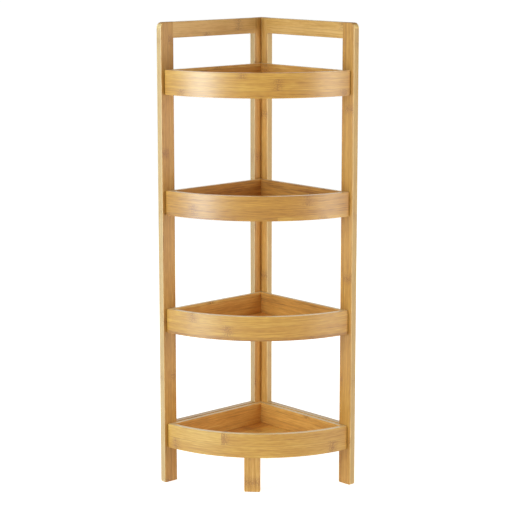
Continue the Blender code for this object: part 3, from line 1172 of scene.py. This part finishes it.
def zinc_plate(name):
    """Zinc on steel: a metal with small changes of tint and gloss."""
    material, tree, shader = new_material(name)
    where = add(tree, "TexCoord")
    spots = add(tree, "TexNoise", {"Scale": 900.0, "Detail": 3.0}, {"Vector": where.outputs["Object"]})
    tint = add(tree, "Mix", {"data_type": "RGBA", 6: linear("#C9C6BC"), 7: linear("#A9A69C")}, {0: spots})
    tree.links.new(tint.outputs[2], shader.inputs["Base Color"])
    wear = add(tree, "MapRange", {1: NOISE_LOW, 2: NOISE_HIGH, 3: BRIGHT_ZINC, 4: DULL_ZINC}, {0: spots})
    tree.links.new(wear.outputs[0], shader.inputs["Roughness"])
    bump = add(tree, "Bump", {"Strength": 0.2, "Distance": 0.05 * MM}, {"Height": spots})
    tree.links.new(bump.outputs[0], shader.inputs["Normal"])
    shader.inputs["Metallic"].default_value = 1.0
    return material


zinc = zinc_plate("zinc_plated_steel")
print("screw finish:", zinc.name)

# %% [markdown]
# ### Drawing a screw
# A screw is turned, so it is drawn from its head down: the lowest face is extruded and scaled, again and
# again, for the cone, the plain shank, the ridges of the thread and the point. A real thread is a helix,
# but on a 3 mm screw that is hidden in wood, plain rings look the same. Two crossed bars then cut the
# recess for the driver.

# %% Draw a screw
SCREW_POINT = 3.0 * MM
TIP_RADIUS = 0.1 * MM
HEAD_RIM = 0.2 * MM
SCREW_SIDES = 24
CROSS_LENGTH = 3.8 * MM
CROSS_WIDTH = 0.9 * MM
CROSS_DEPTH = 1.5 * MM
THREAD_DEPTH = 0.35 * MM
THREAD_PITCH = 1.4 * MM


def pick_low_face(piece):
    """Selects the face at the foot of a shape that is being drawn downwards."""
    bpy.ops.mesh.select_mode(type="FACE")
    bpy.ops.mesh.select_all(action="DESELECT")
    shape = bmesh.from_edit_mesh(piece.data)
    lowest = min(shape.faces, key=lambda face: face.calc_center_median().z)
    lowest.select = True
    bmesh.update_edit_mesh(piece.data)


def draw_down(distance, radius_from, radius_to):
    """Extrudes the selected end face downwards and scales it to a new radius."""
    bpy.ops.mesh.extrude_region_move(TRANSFORM_OT_translate={"value": (0, 0, -distance)})
    change = radius_to / radius_from
    bpy.ops.transform.resize(value=(change, change, 1.0), center_override=(0, 0, 0))


def screw_blank(length):
    """A countersunk screw with its head at the origin, pointing down."""
    bpy.ops.object.select_all(action="DESELECT")
    bpy.ops.mesh.primitive_cylinder_add(
        vertices=SCREW_SIDES, radius=SCREW_HEAD_RADIUS, depth=HEAD_RIM, location=(0, 0, -HEAD_RIM / 2)
    )
    piece = named("screw_blank")
    bpy.ops.object.mode_set(mode="EDIT")
    pick_low_face(piece)
    draw_down(SCREW_HEAD_DEPTH - HEAD_RIM, SCREW_HEAD_RADIUS, SCREW_SHANK_RADIUS)
    core = SCREW_SHANK_RADIUS - THREAD_DEPTH
    shank = length - SCREW_HEAD_DEPTH - SCREW_POINT
    turns = int(shank / THREAD_PITCH)
    plain = shank - turns * THREAD_PITCH
    draw_down(plain, SCREW_SHANK_RADIUS, SCREW_SHANK_RADIUS)
    for _ in range(turns):
        draw_down(THREAD_PITCH / 2, SCREW_SHANK_RADIUS, core)
        draw_down(THREAD_PITCH / 2, core, SCREW_SHANK_RADIUS)
    draw_down(SCREW_POINT, SCREW_SHANK_RADIUS, TIP_RADIUS)
    bpy.ops.object.mode_set(mode="OBJECT")
    for turn in (0.0, math.pi / 2):
        bpy.ops.object.select_all(action="DESELECT")
        bpy.ops.mesh.primitive_cube_add(
            size=1.0, rotation=(0.0, 0.0, turn), scale=(CROSS_LENGTH, CROSS_WIDTH, CROSS_DEPTH * 2)
        )
        carve(piece, named("cutter"))
    shade(piece)
    piece.data.materials.append(zinc)
    return piece


# %% [markdown]
# ### Putting the screws in
# One screw of each length is drawn, and every screw is a copy of it with its own mesh, moved to its head's
# place and turned to point into the wood.

# %% Put the screws in
screw_nodes = sorted(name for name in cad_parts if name.endswith("_screw"))
blanks = {}
for node in screw_nodes:
    head, direction, length = screw_way(node)
    size = round(length / MM, 1)
    if size not in blanks:
        blanks[size] = screw_blank(length)
    copy = blanks[size].copy()
    copy.data = blanks[size].data.copy()
    copy.name = node + "_zinc"
    bpy.context.collection.objects.link(copy)
    copy.data.transform(Matrix.Translation(head) @ turned_to(-direction))
    hand_over(copy, node)
for blank in blanks.values():
    bpy.data.objects.remove(blank, do_unlink=True)
print("screws:", len(screw_nodes), "of lengths in mm", sorted(blanks))

# %% [markdown]
# ## Dowels
# The dowels that hold the rails are turned beech, hidden in the joints. Their shape is right as it is, so
# they stay and only get their wood: pale, even and unlacquered, with short fine flecks along the length,
# 0.7 mm wide and 11 mm long. The left frame's dowels lie along one axis and the right's along the other.

# %% Beech
# Both are counted per metre.
FLECKS_ACROSS = 1400.0
FLECKS_ALONG = 90.0


def beech(name, axis_scale):
    """Plain turned beech, with its flecks stretched along one axis."""
    material, tree, shader = new_material(name)
    where = add(tree, "TexCoord")
    stretch = add(tree, "Mapping", {"Scale": axis_scale}, {"Vector": where.outputs["Object"]})
    fleck = add(tree, "TexNoise", {"Scale": 1.0, "Detail": 4.0, "Roughness": 0.6}, {"Vector": stretch})
    colour = add(tree, "Mix", {"data_type": "RGBA", 6: linear("#E0BF94"), 7: linear("#C4986A")}, {0: fleck})
    tree.links.new(colour.outputs[2], shader.inputs["Base Color"])
    bump = add(tree, "Bump", {"Strength": 0.2, "Distance": 0.1 * MM}, {"Height": fleck})
    tree.links.new(bump.outputs[0], shader.inputs["Normal"])
    shader.inputs["Roughness"].default_value = 0.6
    return material


beech_woods = {
    "left": beech("turned_beech_left", (FLECKS_ACROSS, FLECKS_ALONG, FLECKS_ACROSS)),
    "right": beech("turned_beech_right", (FLECKS_ALONG, FLECKS_ACROSS, FLECKS_ACROSS)),
}
dowels = {name: node for name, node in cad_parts.items() if name.endswith("_dowel")}
for name, node in dowels.items():
    node.data.materials.clear()
    node.data.materials.append(beech_woods[name.split("_")[0]])
print("dowels:", len(dowels))

# %% [markdown]
# ## Floor
# A pale floor of seamless paper that runs far behind the shelf gives an even background. It glows a
# little, as on a light table, which keeps the shadows pale. The paper's tooth, about 2.5 mm across, only
# changes its tint by a hair.

# %% Floor
FLOOR_SIDE = 160.0
TABLE_GLOW = 0.13
TABLE_WHITE = 0.86


def seen_and_lit(tree, lit, seen):
    """One strength for the light that falls on the shelf, another for what the camera sees."""
    ray = add(tree, "LightPath")
    return add(tree, "MapRange", {3: lit, 4: seen}, {0: ray.outputs["Is Camera Ray"]}).outputs[0]


def pale_paper(name):
    """Matt white paper, lit from below as on a light table."""
    material, tree, shader = new_material(name)
    where = add(tree, "TexCoord")
    tooth = add(tree, "TexNoise", {"Scale": 400.0, "Detail": 2.0}, {"Vector": where.outputs["Object"]})
    tint = add(tree, "Mix", {"data_type": "RGBA", 6: linear("#F6F6F5"), 7: linear("#F9F9F8")}, {0: tooth})
    tree.links.new(tint.outputs[2], shader.inputs["Base Color"])
    tree.links.new(tint.outputs[2], shader.inputs["Emission Color"])
    tree.links.new(seen_and_lit(tree, TABLE_GLOW, TABLE_WHITE), shader.inputs["Emission Strength"])
    shader.inputs["Roughness"].default_value = 0.9
    shader.inputs["Specular IOR Level"].default_value = 0.1
    return material


bpy.ops.object.select_all(action="DESELECT")
bpy.ops.mesh.primitive_plane_add(size=FLOOR_SIDE, location=(0.0, 0.0, 0.0))
paper_floor = named("paper_floor")
paper_floor.data.materials.append(pale_paper("seamless_paper"))
print("floor:", FLOOR_SIDE, "m")

# %% [markdown]
# ## Light
# Two tall softboxes stand at the sides, a cool one at the left and a warm one at the right, so that their
# reflections fall on the left and the right of the bent fronts. The warm one is set so low that the floor
# hides its foot. A weaker one hangs overhead, and a wide warm one stands behind the shelf, where it puts
# a light line on the rims. The room itself is dim but looks white from the camera.

# %% Light
SHELF_MIDDLE = high_corner.z / 2
FILL_LIGHT = 0.25
WHITE_BACKDROP = 1.0


def softbox(name, azimuth, height, distance, width, tall, power, colour=(1.0, 1.0, 1.0)):
    """A rectangular light that faces the shelf from an azimuth, counted from the front in degrees."""
    data = bpy.data.lights.new(name, "AREA")
    data.shape = "RECTANGLE"
    data.size = width
    data.size_y = tall
    data.energy = power
    data.color = colour
    light = bpy.data.objects.new(name, data)
    bpy.context.collection.objects.link(light)
    turn = math.radians(azimuth)
    towards = Vector((math.sin(turn), -math.cos(turn), 0.0))
    light.location = towards * distance + Z_AXIS * height
    facing = light.location - Z_AXIS * SHELF_MIDDLE
    light.rotation_euler = facing.to_track_quat("Z", "Y").to_euler()
    light.visible_camera = False


softbox(
    "key_softbox", azimuth=-6.0, height=0.80, distance=2.3, width=0.90, tall=1.6, power=44.0,
    colour=(0.85, 0.965, 1.0),
)
softbox(
    "side_softbox", azimuth=109.0, height=0.38, distance=2.3, width=0.9, tall=1.6, power=29.0,
    colour=(1.0, 0.92, 0.76),
)
softbox("top_softbox", azimuth=20.0, height=2.60, distance=0.5, width=1.2, tall=1.2, power=5.5)
softbox(
    "back_softbox", azimuth=227.5, height=1.20, distance=2.1, width=2.6, tall=1.4, power=9.0,
    colour=(1.0, 0.93, 0.80),
)

world = bpy.data.worlds.new("studio")
world.use_nodes = True
sky = world.node_tree
background = sky.nodes["Background"]
background.inputs["Color"].default_value = linear("#FAFBFC")
sky.links.new(seen_and_lit(sky, FILL_LIGHT, WHITE_BACKDROP), background.inputs["Strength"])
bpy.context.scene.world = world
bpy.context.scene.view_settings.view_transform = "Standard"

# %% [markdown]
# ## Camera
# A camera with a long lens stands three metres away, near the shelf's diagonal and a little higher than
# its top. It looks slightly down, so the highest tray shows almost edge-on and the lowest from above.

# %% Camera
CAMERA_AZIMUTH = math.radians(47.5)
CAMERA_DISTANCE = 3.00
CAMERA_HEIGHT = 0.97
CAMERA_PITCH = math.radians(10.74)
CAMERA_LENS = 124.9
SENSOR_WIDTH = 36.0

lens = bpy.data.cameras.new("camera")
lens.lens = CAMERA_LENS
lens.sensor_width = SENSOR_WIDTH
camera = bpy.data.objects.new("camera", lens)
bpy.context.collection.objects.link(camera)
back = Vector((math.sin(CAMERA_AZIMUTH), -math.cos(CAMERA_AZIMUTH), 0.0))
camera.location = back * CAMERA_DISTANCE + Z_AXIS * CAMERA_HEIGHT
looking = -back * math.cos(CAMERA_PITCH) - Z_AXIS * math.sin(CAMERA_PITCH)
camera.rotation_euler = looking.to_track_quat("-Z", "Y").to_euler()
bpy.context.scene.camera = camera
print("camera at", [round(part, 3) for part in camera.location])
